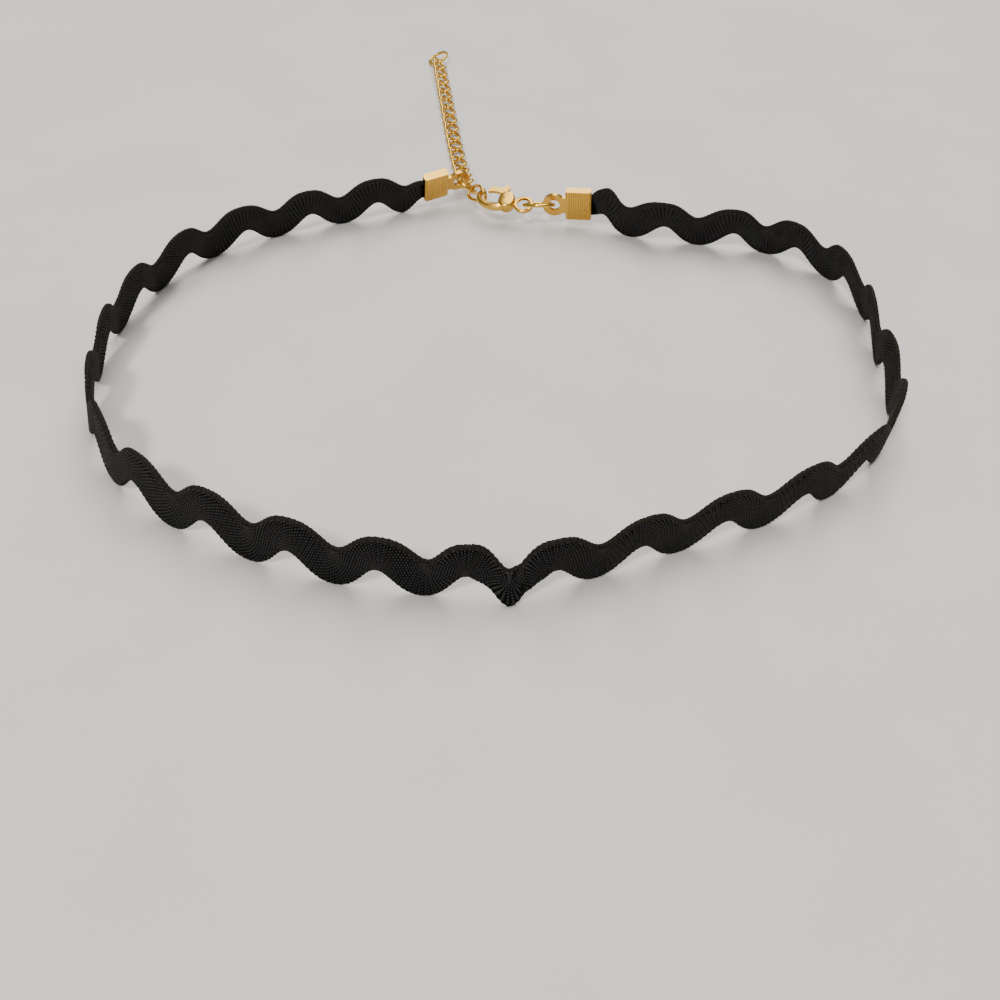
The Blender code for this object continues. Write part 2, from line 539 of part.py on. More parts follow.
def ric_rac_band(left, right):
    """Make the braid's outer shape: a flat strip bent in waves, then swept round the loop."""
    path, arcs, (left_mouth, front, right_mouth) = band_path(left, right)
    wave_left = (front - left_mouth) / (WAVES_LEFT - POINT_SQUEEZE_LEFT)
    wave_right = (right_mouth - front) / (WAVES_RIGHT - POINT_SQUEEZE_RIGHT)
    counts = np.linspace(0.0, WAVES_LEFT + 1, 200)
    trough_top = TROUGH_TOP_SHARE * BAND_HEIGHT
    upper_mean, upper_swing = (BAND_HEIGHT + trough_top) / 2, (BAND_HEIGHT - trough_top) / 2
    lower_mean = (BAND_HEIGHT - BAND_CREST_DEPTH) / 2

    def phase(s):
        """Return the wave count at an arc length, zero at the front point."""
        gap, squeeze = (front - s) / wave_left, POINT_SQUEEZE_LEFT
        if s > front:
            gap, squeeze = (s - front) / wave_right, POINT_SQUEEZE_RIGHT
        gaps = counts - squeeze * (1.0 - np.exp(-counts / SQUEEZE_WAVES))
        return math.copysign(np.interp(gap, gaps, counts), s - front)

    def wave(count):
        """Return an edge's swing from -1 to 1 at a wave count, and how full its turns are."""
        return -math.cos(2 * math.pi * count), EDGE_FULLNESS * (1.0 - math.cos(4 * math.pi * count))

    def edges(s):
        """Return the heights of the lower and upper edge at an arc length."""
        count = phase(s)
        swing, fullness = wave(count + np.interp(count, *zip(*UPPER_LEADS)))
        upper = upper_mean + upper_swing * swing + fullness
        swing, fullness = wave(count + np.interp(count, *zip(*LOWER_LEADS)))
        lower = lower_mean + lower_mean * swing - fullness
        point = max(0.0, 1.0 - abs(count) / POINT_REACH)
        upper -= POINT_DROP * smooth_step(point)
        lower += POINT_SWELL * math.sin(math.pi * point) ** 2
        half = CRIMP_HEIGHT / 2 - CRIMP_WALL - CLEARANCE
        for past, end, length, shoulder in ((s - left_mouth, left, LEFT_HOLD_LENGTH, 0.0),
                                            (right_mouth - s, right, RIGHT_HOLD_LENGTH,
                                             SHOULDER_HEIGHT)):
            hold = 1.0 - smooth_step(past / length)
            middle = end["middle"] - end["slope"] * past
            raised = shoulder * smooth_step(past / SHOULDER_LENGTH)
            upper += (middle + half + raised - upper) * hold
            lower += (middle - half - lower) * hold
        return lower, upper

    def place_point(s, height):
        """Return the point of the band's middle surface and its inward direction."""
        x, y, lean = (np.interp(s, arcs, path[:, k]) for k in range(3))
        step = wave_left / STEPS_PER_WAVE
        ahead = [np.interp(s + d, arcs, path[:, k]) for d in (-step, step) for k in (0, 1)]
        run = Vector((ahead[2] - ahead[0], ahead[3] - ahead[1], 0.0)).normalized()
        inward = Vector((-run.y, run.x, 0.0))
        count = phase(s)
        near = max(0.0, 1.0 - abs(count) / KICK_REACH)
        out = POINT_KICK * smooth_step(near) * (1.0 - height / (KICK_HEIGHT_SHARE * BAND_HEIGHT))
        beyond = count - FOLD_AT_MIDDLE - FOLD_SLANT * (1.0 - 2.0 * height / BAND_HEIGHT)
        if beyond > 0:
            fade = 1.0 - smooth_step((beyond - FOLD_RISE) / FOLD_FADE)
            out += FOLD_LAP * smooth_step(beyond / FOLD_RISE) * fade
        base = Vector((x, y, 0.0)) - inward * out
        return base + inward * height * math.sin(lean) + Vector((0, 0, height * math.cos(lean)))

    start, end = arcs[0] + CLEARANCE, arcs[-1] - CLEARANCE
    count_steps = round((WAVES_LEFT + WAVES_RIGHT) * STEPS_PER_WAVE)
    stations = np.linspace(start, end, count_steps + 1)
    shape = bmesh.new()
    bmesh.ops.create_grid(shape, x_segments=count_steps, y_segments=ROWS_ACROSS, size=0.5)
    fullness = shape.verts.layers.deform.verify()
    for vert in shape.verts:
        station = stations[round((vert.co.x + 0.5) * count_steps)]
        across = vert.co.y + 0.5
        lower, upper = edges(station)
        vert.co = place_point(station, lower + (upper - lower) * across)
        free = min(station - left_mouth, right_mouth - station) - (stations[1] - stations[0])
        vert[fullness][0] = smooth_step(free / PINCH_LENGTH)
    bmesh.ops.recalc_face_normals(shape, faces=shape.faces)
    mesh = bpy.data.meshes.new("ric_rac_band")
    shape.to_mesh(mesh)
    shape.free()
    band = bpy.data.objects.new("ric_rac_band", mesh)
    bpy.context.scene.collection.objects.link(band)
    solid = band.modifiers.new("thickness", "SOLIDIFY")
    solid.thickness = BAND_THICKNESS
    solid.offset = 0.0
    solid.use_even_offset = True
    solid.vertex_group = band.vertex_groups.new(name="fullness").name
    solid.thickness_vertex_group = PINCHED_THICKNESS / BAND_THICKNESS
    edge = band.modifiers.new("edges", "BEVEL")
    edge.width = BAND_EDGE_ROUND
    edge.segments = 1
    edge.limit_method = "ANGLE"
    edge.angle_limit = math.radians(50.0)
    bpy.context.view_layer.update()
    evaluated = band.evaluated_get(bpy.context.evaluated_depsgraph_get())
    shape = bmesh.new()
    shape.from_mesh(bpy.data.meshes.new_from_object(evaluated))
    bpy.data.objects.remove(band, do_unlink=True)
    lowest = min(v.co.z for v in shape.verts)
    floor_cut = bmesh.ops.bisect_plane(
        shape, geom=[*shape.verts, *shape.edges, *shape.faces], dist=0.001 * MM,
        plane_co=(0, 0, lowest + WORN_FLAT), plane_no=(0, 0, -1), clear_outer=True)
    rim = [g for g in floor_cut["geom_cut"] if isinstance(g, bmesh.types.BMEdge)]
    bmesh.ops.holes_fill(shape, edges=rim, sides=0)
    bmesh.ops.translate(shape, vec=(0, 0, -lowest - WORN_FLAT), verts=shape.verts)
    return place(mesh_object("ric_rac_band", shape), BRAID)


def end_reach():
    """Return how far a link's centre lies from a ring's wire that its end loop holds."""
    return LINK_LENGTH / 2 - 2 * LINK_WIRE_RADIUS - RING_WIRE_RADIUS - CLEARANCE


def build():
    """Place the hardware from the clasp outwards, then the band between the two ends."""
    frame = clasp_frame()
    clasp_body()
    clasp_lever()

    # Right side: the ring lies nearly level through the clasp's eye and the right end's lug
    level_up = Vector((0.0, -math.sin(RIGHT_RING_TILT), math.cos(RIGHT_RING_TILT)))
    across = Vector((math.cos(RIGHT_RING_RISE), 0.0, math.sin(RIGHT_RING_RISE)))
    right_ring = CLASP_EYE + across * RIGHT_RING_RADIUS
    jump_ring("jump_ring_right", RIGHT_RING_RADIUS, frame_of(right_ring, across, level_up))
    right_lug = right_ring + across * RIGHT_RING_RADIUS
    right = crimp("crimp_right", right_lug, RIGHT_CRIMP_TURN, RIGHT_CRIMP_LEAN,
                  RIGHT_CRIMP_RISE, -1)

    # Left side: a link from the hook to the tilted left ring, then the left end's lug
    along = Vector((math.cos(LEFT_CRIMP_TURN), math.sin(LEFT_CRIMP_TURN), 0.0))
    back = Vector((-along.y, along.x, 0.0))
    ring_out = along * math.cos(LEFT_RING_TILT) - Vector((0, 0, math.sin(LEFT_RING_TILT)))
    ring_up = ring_out.cross(back)
    grip_out = -HOOK_NOSE_RADIUS - LINK_WIRE_RADIUS - CLEARANCE
    grip = frame @ (hook_point(GRIP_ANGLE, grip_out) - Vector((0, 0, GRIP_OFFSET)))
    to_ring = CLOSING_HEADING.normalized()
    closing = grip + to_ring * (LINK_LENGTH / 2 - LINK_WIRE_RADIUS)
    chain_link("closing_link", closing, to_ring, -frame.to_3x3().col[2], LINK_TWIST)
    hold = closing + to_ring * end_reach()
    hold_way = ring_out * math.cos(CLOSING_HOLD) + back * math.sin(CLOSING_HOLD)
    left_ring = hold - hold_way * LEFT_RING_RADIUS
    jump_ring("jump_ring_left", LEFT_RING_RADIUS, frame_of(left_ring, ring_out, ring_up))
    left_lug = left_ring - ring_out * LEFT_RING_RADIUS
    left = crimp("crimp_left", left_lug, LEFT_CRIMP_TURN, LEFT_CRIMP_LEAN, LEFT_CRIMP_RISE, 1)

    # Free end: links along the route, then the last ring propped on the floor
    tail_way = ring_out * math.cos(TAIL_HOLD) + back * math.sin(TAIL_HOLD)
    tail_start = left_ring + tail_way * LEFT_RING_RADIUS
    drop = tail_start.z - max(point.z for point in link_outline()) - LINK_WIRE_RADIUS
    steps = [Vector((x, y, (share - 1.0) * drop)) for x, y, share in TAIL_ROUTE]
    route, arcs = smooth_path([tail_start, *(tail_start + step for step in steps)], 3)
    at = end_reach()
    for index in range(TAIL_LINKS):
        here, behind, ahead = (Vector([np.interp(d, arcs, route[:, k]) for k in range(3)])
                               for d in (at, at - LINK_LENGTH / 3, at + LINK_LENGTH / 3))
        heading = ahead - behind
        roll = TAIL_START_ROLL * max(0.0, 1 - index / ROLLING_LINKS)
        roll += TAIL_END_ROLL * max(0.0, 1 - (TAIL_LINKS - 1 - index) / ROLLING_LINKS)
        chain_link(f"tail_link_{index + 1:02d}", here, heading, (-heading.y, heading.x, 0), roll)
        at += LINK_PITCH
    level = Vector((heading.x, heading.y, 0.0)).normalized()
    side = Vector((-level.y, level.x, 0.0))
    end_up = Vector((0, 0, math.cos(END_RING_TILT))) + side * math.sin(END_RING_TILT)
    centre = here + level * (end_reach() + END_RING_RADIUS)
    centre.z = RING_WIRE_RADIUS + END_RING_RADIUS * math.sin(END_RING_TILT)
    jump_ring("tail_end_ring", END_RING_RADIUS, frame_of(centre, level, end_up))
    ric_rac_band(left, right)


def centre_on_floor():
    """Move every piece alike, so that the middle of the part's box comes to X = Y = 0."""
    bpy.context.view_layer.update()
    graph = bpy.context.evaluated_depsgraph_get()
    points = []
    for obj in PART.objects:
        mesh = bpy.data.meshes.new_from_object(obj.evaluated_get(graph))
        points.extend(obj.matrix_world @ vert.co for vert in mesh.vertices)
    places = np.array(points)
    middle = (places.min(axis=0) + places.max(axis=0)) / 2
    for obj in PART.objects:
        obj.location -= Vector((middle[0], middle[1], 0.0))


build()
centre_on_floor()
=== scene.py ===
"""Black ric-rac choker with gold-plated ends, clasp and extender chain, dressed for a photo."""

import math

import bmesh
import bpy
import numpy as np
from mathutils import Matrix, Vector


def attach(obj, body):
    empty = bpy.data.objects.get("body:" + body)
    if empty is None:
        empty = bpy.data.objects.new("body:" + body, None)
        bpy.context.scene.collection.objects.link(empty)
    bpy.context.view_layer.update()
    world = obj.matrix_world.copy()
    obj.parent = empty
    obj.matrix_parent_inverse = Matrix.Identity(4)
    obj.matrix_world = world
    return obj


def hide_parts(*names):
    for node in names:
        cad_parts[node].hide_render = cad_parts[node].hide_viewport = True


MM = 0.001

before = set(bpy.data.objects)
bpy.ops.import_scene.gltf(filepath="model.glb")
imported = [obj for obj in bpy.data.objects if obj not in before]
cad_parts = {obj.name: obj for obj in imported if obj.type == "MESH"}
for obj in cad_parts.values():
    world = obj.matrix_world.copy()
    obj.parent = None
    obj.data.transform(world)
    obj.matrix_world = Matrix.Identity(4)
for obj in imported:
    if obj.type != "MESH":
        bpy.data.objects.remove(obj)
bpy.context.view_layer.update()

# Loop of the band, with the sizes of the CAD
PLAN_MIDDLE = (0.112 * MM, 27.040 * MM)
LOOP_HALF_WIDTH = 56.0 * MM
LOOP_HALF_DEPTH = 46.0 * MM
BAND_HEIGHT = 9.4 * MM
BAND_CREST_DEPTH = 5.65 * MM
TROUGH_TOP_SHARE = 0.69
EDGE_FULLNESS = 0.26 * MM
WAVES_LEFT = 13.4
WAVES_RIGHT = 12.62
STEPS_PER_WAVE = 12
POINT_SQUEEZE_LEFT = 0.3
POINT_SQUEEZE_RIGHT = 0.12
SQUEEZE_WAVES = 1.6
POINT_REACH = 0.42
POINT_SWELL = 1.15 * MM
POINT_KICK = 1.9 * MM
POINT_DROP = 1.3 * MM
KICK_REACH = 0.5
KICK_HEIGHT_SHARE = 0.6
FOLD_LAP = 0.45 * MM
FOLD_AT_MIDDLE = 0.07
FOLD_SLANT = 0.11
FOLD_RISE = 0.1
FOLD_FADE = 0.6
CRIMPED_LENGTH = 3.2 * MM
CRIMPED_HALF = 2.0 * MM
STRAIGHT_LENGTH = 1.23 * MM
SHOULDER_LENGTH = 0.9 * MM
PATH_SAMPLES = 24
PHASE_SAMPLES = 200
SLOPE_STEP = 0.1 * MM
BAND_END_MARGIN = 0.2 * MM

# X and Y as shares of the half width and half depth, then the lean in degrees
LEFT_ROWS = (
    (-0.671, 0.634, 22.0),
    (-0.827, 0.486, 20.0),
    (-0.932, 0.272, 18.0),
    (-0.984, 0.020, 15.0),
    (-0.976, -0.220, 12.0),
    (-0.932, -0.445, 9.0),
    (-0.828, -0.642, 5.5),
    (-0.484, -0.906, 1.0),
    (-0.138, -1.000, -3.5),
)
FRONT_ROW = (0.038, -0.990, -6.0)
RIGHT_ROWS = (
    (0.398, -0.828, -9.0),
    (0.727, -0.630, -8.0),
    (0.860, -0.487, -7.0),
    (0.947, -0.289, 1.0),
    (0.972, -0.030, 12.0),
    (0.986, 0.243, 18.0),
    (0.924, 0.474, 21.0),
    (0.773, 0.622, 22.0),
    (0.582, 0.668, 21.0),
    (0.391, 0.708, 19.0),
)

# How far the edges run ahead of the even waves: a wave count from the point, then the lead
UPPER_LEADS = ((-11.0, 0.12), (-9.5, 0.0), (-8.3, -0.08), (-1.0, -0.08), (-0.4, 0.0), (4.5, 0.0),
               (5.5, 0.12), (7.5, 0.12), (8.5, 0.0), (9.5, -0.06), (12.5, -0.06))
LOWER_LEADS = ((-10.0, 0.18), (-8.0, 0.14), (-5.5, 0.14), (-3.0, 0.0), (2.0, 0.0), (3.0, -0.04),
               (4.0, -0.04), (5.0, 0.0))

# Metal ends: where the band enters, the way it enters, its lean, the height of its middle and
# how that rises inwards, then how far outside the end still holds the band's shape
LEFT_END = {"foot": (-13.774 * MM, 39.862 * MM), "turn": 27.0, "lean": 20.0,
            "middle": 4.864 * MM, "rise": 6.0, "hold": 3.6 * MM, "shoulder": 0.0}
RIGHT_END = {"foot": (14.677 * MM, 34.879 * MM), "turn": -7.0, "lean": 5.0,
             "middle": 4.634 * MM, "rise": -3.5, "hold": 4.8 * MM, "shoulder": 0.6 * MM}

# Yarns of the braid: how far a float stands out, how square the columns are to the strip, and how
# the yarns flatten as they turn at the edges
YARNS = 24
YARN_PIECES = 3
YARN_RADIUS = 0.16 * MM
YARN_MARGIN = 0.05 * MM
YARN_START = 0.25 * MM
YARN_RISE = 0.3 * MM
CRIMPED_RISE = 0.2 * MM
RISE_FADE = 1.0 * MM
COLUMN_TILT = 0.4
EDGE_SQUARENESS = 1.07
TURN_FLATNESS = 0.5
NORMAL_STEP = 0.05 * MM
NORMAL_SHARE = 0.01

# Where the yarns carry painted glints and painted rim light: a float's height from the strip, and
# the share across it
FLOAT_TOP = 0.38 * MM
FLOAT_TOP_SPAN = 0.08 * MM
RIM_SHARE = 0.9

# Beaded cord in each edge, and the layer between the two faces
CORD_RADIUS = 0.36 * MM
CORD_INSET = 0.12 * MM
CORD_BEADING = 0.12
STEPS_PER_BEAD = 4
CORE_THICKNESS = 0.3 * MM
CORE_INSET = 0.4 * MM
CORE_ROWS = 4
INNER_START = 1.0 * MM

# Finish of the metal: wire is made a little fuller, because subdividing thins it
WELD_DISTANCE = 0.001 * MM
WIRE_FULLNESS = 0.035 * MM
WIRE_LEVELS = 2
QUAD_FACE_ANGLE = 0.6
QUAD_SHAPE_ANGLE = 1.2
FLAT_ANGLE = math.radians(2.0)
SHARP_ANGLE = math.radians(35.0)

# Camera of the photo, placed on the plan of the loop
CAMERA_PLACE = (1.0 * MM, -126.0 * MM, 93.8 * MM)
CAMERA_PITCH = math.radians(44.44)
CAMERA_ROLL = math.radians(1.53)
CAMERA_LENS = 38.99
CAMERA_SENSOR = 36.0

FLOOR_HALF = 1.5
ROOM_STRENGTH = 0.3
# name, place, size and power of each light, all aimed at the middle of the floor
SOFTBOXES = (
    ("top_softbox", (0.1, 0.2, 0.8), 0.7, 7.0),
    ("back_softbox", (0.05, 0.62, 0.58), 0.3, 1.6),
    ("front_softbox", (-0.2, -0.5, 0.62), 0.12, 4.0),
)


def linear(hex_colour):
    """Turn an sRGB hex colour into linear values for a shader."""
    values = []
    for start in (1, 3, 5):
        share = int(hex_colour[start:start + 2], 16) / 255
        values.append(share / 12.92 if share <= 0.04045 else ((share + 0.055) / 1.055) ** 2.4)
    return (*values, 1.0)


def add(tree, kind, settings=None, links=None):
    """Add a node, set its settings or sockets, and link its inputs."""
    node = tree.nodes.new(kind)
    for key, value in (settings or {}).items():
        if key in node.inputs:
            node.inputs[key].default_value = value
        else:
            setattr(node, key, value)
    for key, source in (links or {}).items():
        tree.links.new(source, node.inputs[key])
    return node


def new_material(name):
    """Return an empty material and its tree with an output node."""
    material = bpy.data.materials.new(name)
    material.use_nodes = True
    tree = material.node_tree
    tree.nodes.clear()
    return material, tree, add(tree, "ShaderNodeOutputMaterial")


def gold_plate(name, tint, roughness, grain):
    """Gold-plated brass, formed and tumbled: bright and warm, with fine scratches from tumbling."""
    material, tree, output = new_material(name)
    place = add(tree, "ShaderNodeTexCoord").outputs["Object"]
    # Scratches from tumbling are too fine to show, so they are drawn 0.6 mm apart, long along Z
    stretched = add(tree, "ShaderNodeMapping", {"Scale": (1.0, 1.0, 0.25)}, {"Vector": place})
    scratch = add(tree, "ShaderNodeTexNoise", {"Scale": 1 / (0.6 * MM), "Detail": 2.0},
                  {"Vector": stretched.outputs["Vector"]})
    # The plate is thinner in places: warmer and duller patches 2 mm across
    patch = add(tree, "ShaderNodeTexNoise", {"Scale": 1 / (2.0 * MM), "Detail": 2.0},
                {"Vector": place})
    colour = add(tree, "ShaderNodeMix", {"data_type": "RGBA"})
    colour.inputs["A"].default_value = linear(tint)
    colour.inputs["B"].default_value = linear("#C98F3E")
    thin = add(tree, "ShaderNodeMapRange", {"From Min": 0.5, "From Max": 0.8, "To Max": 0.35},
               {"Value": patch.outputs["Fac"]})
    tree.links.new(thin.outputs["Result"], colour.inputs["Factor"])
    dull = add(tree, "ShaderNodeMapRange", {"To Min": roughness - 0.04, "To Max": roughness + 0.06},
               {"Value": scratch.outputs["Fac"]})
    relief = add(tree, "ShaderNodeBump", {"Strength": grain, "Distance": 0.02 * MM},
                 {"Height": scratch.outputs["Fac"]})
    shader = add(tree, "ShaderNodeBsdfPrincipled", {"Metallic": 1.0},
                 {"Base Color": colour.outputs["Result"], "Roughness": dull.outputs["Result"],
                  "Normal": relief.outputs["Normal"]})
    tree.links.new(shader.outputs["BSDF"], output.inputs["Surface"])
    return material


def polyester_yarn(name):
    """Dyed black polyester yarn, texturised and braided, with painted grey glints on the tops of
    its floats and a painted browner rim.
    """
    material, tree, output = new_material(name)
    place = add(tree, "ShaderNodeTexCoord").outputs["Object"]
    # Filaments are too fine to show, so they are drawn 0.08 mm across
    fibre = add(tree, "ShaderNodeTexNoise", {"Scale": 1 / (0.08 * MM), "Detail": 2.0},
                {"Vector": place})
    # Painted rim light: the upper rim of the braid is painted browner than its face, where the back
    # light catches it
    edge = add(tree, "ShaderNodeAttribute", {"attribute_name": "painted_rim_light"})
    colour = add(tree, "ShaderNodeMix", {"data_type": "RGBA"}, {"Factor": edge.outputs["Fac"]})
    colour.inputs["A"].default_value = linear("#020202")
    colour.inputs["B"].default_value = linear("#241F1A")
    # Painted glints: the tops of the floats are painted grey
    top = add(tree, "ShaderNodeAttribute", {"attribute_name": "painted_glint"})
    painted_glint_colour = add(tree, "ShaderNodeMix", {"data_type": "RGBA"}, {"Factor": top.outputs["Fac"]})
    tree.links.new(colour.outputs["Result"], painted_glint_colour.inputs["A"])
    painted_glint_colour.inputs["B"].default_value = linear("#474645")
    relief = add(tree, "ShaderNodeBump", {"Strength": 0.5, "Distance": 0.03 * MM},
                 {"Height": fibre.outputs["Fac"]})
    shader = add(tree, "ShaderNodeBsdfPrincipled",
                 {"Roughness": 0.5, "Specular IOR Level": 0.06},
                 {"Base Color": painted_glint_colour.outputs["Result"], "Normal": relief.outputs["Normal"]})
    tree.links.new(shader.outputs["BSDF"], output.inputs["Surface"])
    return material


def pale_floor(name):
    """Plain pale cloth on the floor, matt."""
    material, tree, output = new_material(name)
    place = add(tree, "ShaderNodeTexCoord").outputs["Object"]
    # The cloth is faintly cloudy, in patches about 25 mm across
    cloudy = add(tree, "ShaderNodeTexNoise", {"Scale": 1 / (25.0 * MM), "Detail": 3.0},
                 {"Vector": place})
    colour = add(tree, "ShaderNodeMix", {"data_type": "RGBA"}, {"Factor": cloudy.outputs["Fac"]})
    colour.inputs["A"].default_value = linear("#CFCBC6")
    colour.inputs["B"].default_value = linear("#DEDAD4")
    shader = add(tree, "ShaderNodeBsdfPrincipled", {"Roughness": 0.9, "Specular IOR Level": 0.2},
                 {"Base Color": colour.outputs["Result"]})
    tree.links.new(shader.outputs["BSDF"], output.inputs["Surface"])
    return material


YARN = polyester_yarn("black_polyester_yarn")
PLATE = gold_plate("gold_plated_brass_stamped", "#D2A64A", 0.27, 0.05)
WIRE_PLATE = gold_plate("gold_plated_brass_wire", "#E2B64C", 0.18, 0.03)
FLOOR = pale_floor("pale_floor_cloth")


def smooth_step(x):
    """Ease from 0 to 1 over 0 to 1, for numbers or arrays."""
    x = np.clip(x, 0.0, 1.0)
    return x * x * (3.0 - 2.0 * x)


def smooth_path(points):
    """Return a smooth curve through points and the plan length at each sample."""
    points = np.array(points)
    spans = np.linalg.norm(np.diff(points[:, :2], axis=0), axis=1)[:, None]
    slopes = np.diff(points, axis=0) / spans
    inner = (slopes[:-1] * spans[1:] + slopes[1:] * spans[:-1]) / (spans[:-1] + spans[1:])
    tangents = np.vstack((slopes[:1], inner, slopes[-1:]))
    t = np.linspace(0.0, 1.0, PATH_SAMPLES + 1)[:-1, None]
    curve = []
    for k, span in enumerate(spans):
        curve.append((2 * t ** 3 - 3 * t ** 2 + 1) * points[k]
                     + (t ** 3 - 2 * t ** 2 + t) * span * tangents[k]
                     + (3 * t ** 2 - 2 * t ** 3) * points[k + 1]
                     + (t ** 3 - t ** 2) * span * tangents[k + 1])
    curve = np.vstack((*curve, points[-1:]))
    steps = np.linalg.norm(np.diff(curve[:, :2], axis=0), axis=1)
    return curve, np.concatenate(([0.0], np.cumsum(steps)))


class Band:
    """The band's wavy strip round the loop: its edges, its surface and its facing."""

    def __init__(self):
        rows = [np.array((x * LOOP_HALF_WIDTH, y * LOOP_HALF_DEPTH, math.radians(lean)))
                for x, y, lean in (*LEFT_ROWS, FRONT_ROW, *RIGHT_ROWS)]
        ends = []
        for end, side in ((LEFT_END, 1.0), (RIGHT_END, -1.0)):
            turn = math.radians(end["turn"])
            along = side * np.array((math.cos(turn), math.sin(turn), 0.0))
            mouth = np.array((*end["foot"], math.radians(end["lean"])))
            ends.append([mouth + CRIMPED_LENGTH * along, mouth, mouth - STRAIGHT_LENGTH * along])
        self.path, self.arcs = smooth_path([*ends[0], *rows, *reversed(ends[1])])
        marks = (ends[0][1], rows[len(LEFT_ROWS)], ends[1][1])
        self.left, self.front, self.right = (
            self.arcs[np.argmin(np.linalg.norm(self.path[:, :2] - mark[:2], axis=1))]
            for mark in marks)
        self.wave_left = (self.front - self.left) / (WAVES_LEFT - POINT_SQUEEZE_LEFT)
        self.wave_right = (self.right - self.front) / (WAVES_RIGHT - POINT_SQUEEZE_RIGHT)
        self.end = self.arcs[-1]

    def phase(self, s):
        """Return the wave count at plan lengths, zero at the front point."""
        counts = np.linspace(0.0, WAVES_LEFT + 1, PHASE_SAMPLES)
        fade = 1.0 - np.exp(-counts / SQUEEZE_WAVES)
        left = np.interp((self.front - s) / self.wave_left, counts - POINT_SQUEEZE_LEFT * fade,
                         counts)
        right = np.interp((s - self.front) / self.wave_right, counts - POINT_SQUEEZE_RIGHT * fade,
                          counts)
        return np.where(s < self.front, -left, right)

    def edges(self, s):
        """Return the heights of the lower and upper edge at plan lengths."""
        count = self.phase(s)
        edges = []
        for leads in (LOWER_LEADS, UPPER_LEADS):
            turned = count + np.interp(count, *zip(*leads))
            edges.append((-np.cos(2 * math.pi * turned),
                          EDGE_FULLNESS * (1.0 - np.cos(4 * math.pi * turned))))
        trough_top = TROUGH_TOP_SHARE * BAND_HEIGHT
        swing, full = edges[1]
        upper = (BAND_HEIGHT + trough_top) / 2 + (BAND_HEIGHT - trough_top) / 2 * swing + full
        swing, full = edges[0]
        lower = (BAND_HEIGHT - BAND_CREST_DEPTH) / 2 * (1.0 + swing) - full
        point = np.clip(1.0 - np.abs(count) / POINT_REACH, 0.0, None)
        upper = upper - POINT_DROP * smooth_step(point)
        lower = lower + POINT_SWELL * np.sin(math.pi * point) ** 2
        for past, end in ((s - self.left, LEFT_END), (self.right - s, RIGHT_END)):
            hold = 1.0 - smooth_step(past / end["hold"])
            middle = end["middle"] - math.tan(math.radians(end["rise"])) * past
            raised = end["shoulder"] * smooth_step(past / SHOULDER_LENGTH)
            upper = upper + (middle + CRIMPED_HALF + raised - upper) * hold
            lower = lower + (middle - CRIMPED_HALF - lower) * hold
        return lower, upper

    def surface(self, s, height):
        """Return points of the band's middle surface at plan lengths and heights."""
        x, y, lean = (np.interp(s, self.arcs, self.path[:, k]) for k in range(3))
        step = self.wave_left / STEPS_PER_WAVE
        ahead = [np.interp(s + step, self.arcs, self.path[:, k])
                 - np.interp(s - step, self.arcs, self.path[:, k]) for k in (0, 1)]
        size = np.hypot(*ahead)
        inward_x, inward_y = -ahead[1] / size, ahead[0] / size
        count = self.phase(s)
        out = (POINT_KICK * smooth_step(1.0 - np.abs(count) / KICK_REACH)
               * (1.0 - height / (KICK_HEIGHT_SHARE * BAND_HEIGHT)))
        beyond = count - FOLD_AT_MIDDLE - FOLD_SLANT * (1.0 - 2.0 * height / BAND_HEIGHT)
        out = out + (FOLD_LAP * smooth_step(beyond / FOLD_RISE)
                     * (1.0 - smooth_step((beyond - FOLD_RISE) / FOLD_FADE)))
        inside = height * np.sin(lean) - out
        return np.stack((x + inward_x * inside - PLAN_MIDDLE[0],
                         y + inward_y * inside - PLAN_MIDDLE[1],
                         height * np.cos(lean)), axis=-1)

    def strip(self, s, across):
        """Return points at plan lengths s and shares across, 0 at the lower edge.

        The columns of the braid turn part of the way with its waves, so that they stay nearer to
        square across the strip.
        """
        lower, upper = self.edges(s)
        ahead_lower, ahead_upper = self.edges(s + SLOPE_STEP)
        slope = ((ahead_lower + ahead_upper) - (lower + upper)) / (2 * SLOPE_STEP)
        shift = -COLUMN_TILT * slope * (upper - lower) * (across - 0.5)
        at = np.clip(s + shift, BAND_END_MARGIN, self.end - BAND_END_MARGIN)
        lower, upper = self.edges(at)
        room = YARN_RADIUS + YARN_MARGIN
        height = lower + room + (upper - lower - 2 * room) * across
        return self.surface(at, height)


def placed(name, data):
    """Add an object to the scene at its origin."""
    obj = bpy.data.objects.new(name, data)
    bpy.context.scene.collection.objects.link(obj)
    return obj


def smooth_object(name, shape, material):
    """Turn a bmesh into a smooth object with one material."""
    mesh = bpy.data.meshes.new(name)
    shape.to_mesh(mesh)
    shape.free()
    mesh.shade_smooth()
    mesh.materials.append(material)
    return placed(name, mesh)


def stand_for(piece, node, body):
    """Hide the CAD node that a piece replaces, and attach the piece to its body."""
    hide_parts(node)
    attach(piece, body)


def braid_core(band):
    """Make the strip of yarn layers that fills the braid behind its floats."""
    count_steps = round((WAVES_LEFT + WAVES_RIGHT) * STEPS_PER_WAVE)
    shape = bmesh.new()
    bmesh.ops.create_grid(shape, x_segments=count_steps, y_segments=CORE_ROWS, size=0.5)
    for vert in shape.verts:
        at = INNER_START + (band.end - 2 * INNER_START) * (vert.co.x + 0.5)
        lower, upper = band.edges(at)
        height = lower + CORE_INSET + (upper - lower - 2 * CORE_INSET) * (vert.co.y + 0.5)
        vert.co = band.surface(at, height)
    bmesh.ops.recalc_face_normals(shape, faces=shape.faces)
    bmesh.ops.solidify(shape, geom=shape.faces, thickness=CORE_THICKNESS)
    # Solidify lists its new faces in another order each run, so they are sorted by their points
    shape.verts.index_update()
    count = len(shape.verts)
    shape.faces.sort(key=lambda face: (min(vert.index for vert in face.verts) * count
                                       + max(vert.index for vert in face.verts)))
    return smooth_object("braid_core", shape, YARN)


